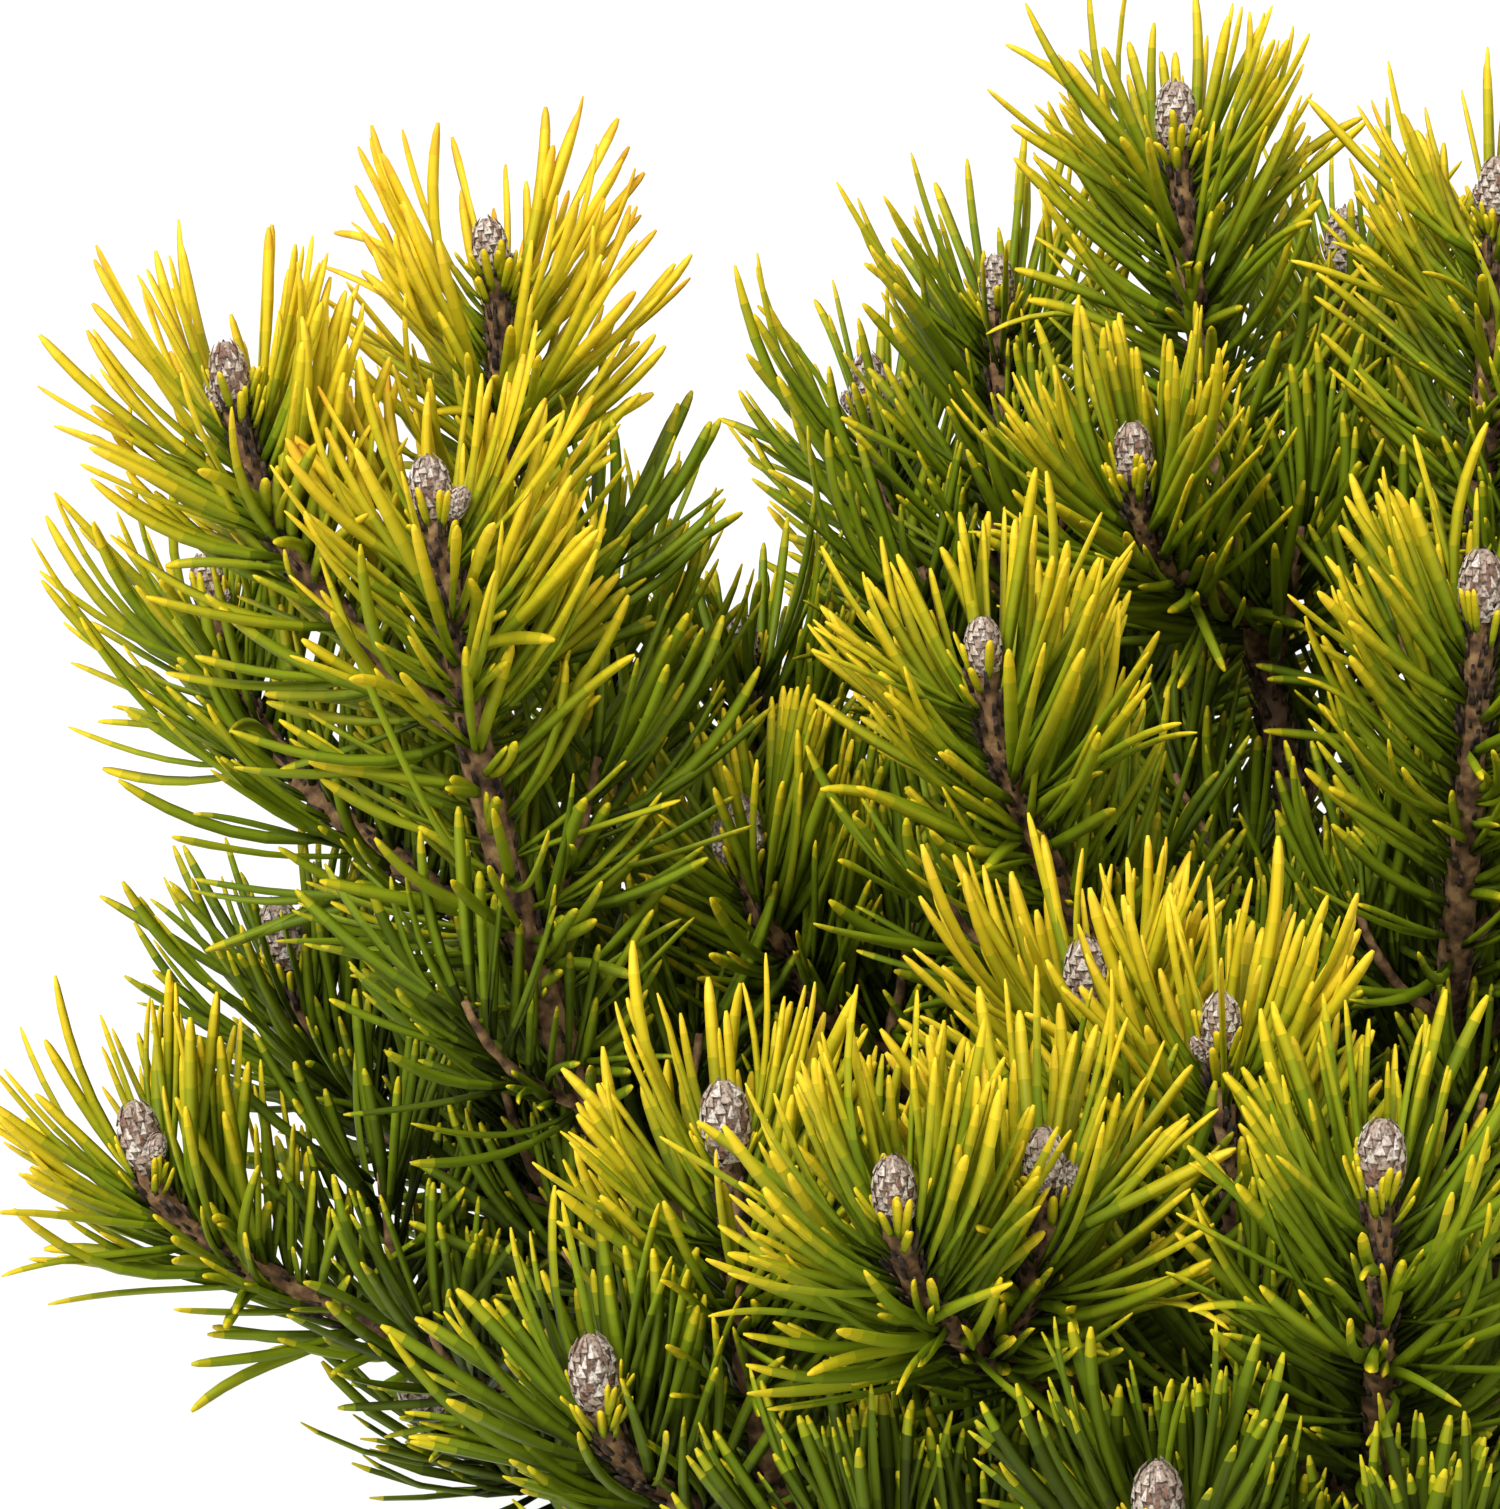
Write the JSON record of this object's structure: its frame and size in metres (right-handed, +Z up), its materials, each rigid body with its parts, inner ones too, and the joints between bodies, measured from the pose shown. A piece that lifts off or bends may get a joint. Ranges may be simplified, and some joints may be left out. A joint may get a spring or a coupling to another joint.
{
  "type": "mugo pine",
  "caption": "Low round mugo pine shrub with gold-tipped needles in dense sprays on upturned shoots, each ending in a pale bud, cut off flat at the ground",
  "frame": {"origin": "middle of the flat cut under the trunk, at ground level", "axes": "+Z up along the trunk, -Z into the ground, -Y the side the picture shows, +X to that view's right"},
  "size_m": [0.4317, 0.4356, 0.3058],
  "materials": {
    "bark": "rough brown bark with leaf scars",
    "needles": "waxy green needles with golden tips",
    "buds": "scaly brown buds whitened with resin"
  },
  "bodies": {
    "root": {"trunk": "bark", "bough_left_upper": "bark", "bough_left_low": "bark", "bough_front_left": "bark", "bough_middle_left": "bark", "bough_top_left": "bark", "bough_back_left": "bark", "bough_front_high": "bark", "bough_front_middle": "bark", "bough_front_low": "bark", "bough_front_foot": "bark", "bough_top_front": "bark", "bough_top": "bark", "bough_skirt_1": "bark", "bough_skirt_2": "bark", "bough_skirt_3": "bark", "bough_skirt_4": "bark", "bough_skirt_5": "bark", "bough_skirt_6": "bark", "bough_low_1": "bark", "bough_low_2": "bark", "bough_low_3": "bark", "bough_low_4": "bark", "bough_low_5": "bark", "bough_middle_1": "bark", "bough_middle_2": "bark", "bough_middle_3": "bark", "bough_middle_4": "bark", "bough_high_1": "bark", "bough_high_2": "bark", "foliage_left_upper": "needles", "foliage_left_low": "needles", "foliage_front_left": "needles", "foliage_middle_left": "needles", "foliage_top_left": "needles", "foliage_back_left": "needles", "foliage_front_high": "needles", "foliage_front_middle": "needles", "foliage_front_low": "needles", "foliage_front_foot": "needles", "foliage_top_front": "needles", "foliage_top": "needles", "foliage_skirt_1": "needles", "foliage_skirt_2": "needles", "foliage_skirt_3": "needles", "foliage_skirt_4": "needles", "foliage_skirt_5": "needles", "foliage_skirt_6": "needles", "foliage_low_1": "needles", "foliage_low_2": "needles", "foliage_low_3": "needles", "foliage_low_4": "needles", "foliage_low_5": "needles", "foliage_middle_1": "needles", "foliage_middle_2": "needles", "foliage_middle_3": "needles", "foliage_middle_4": "needles", "foliage_high_1": "needles", "foliage_high_2": "needles"}
  },
  "joints": []
}
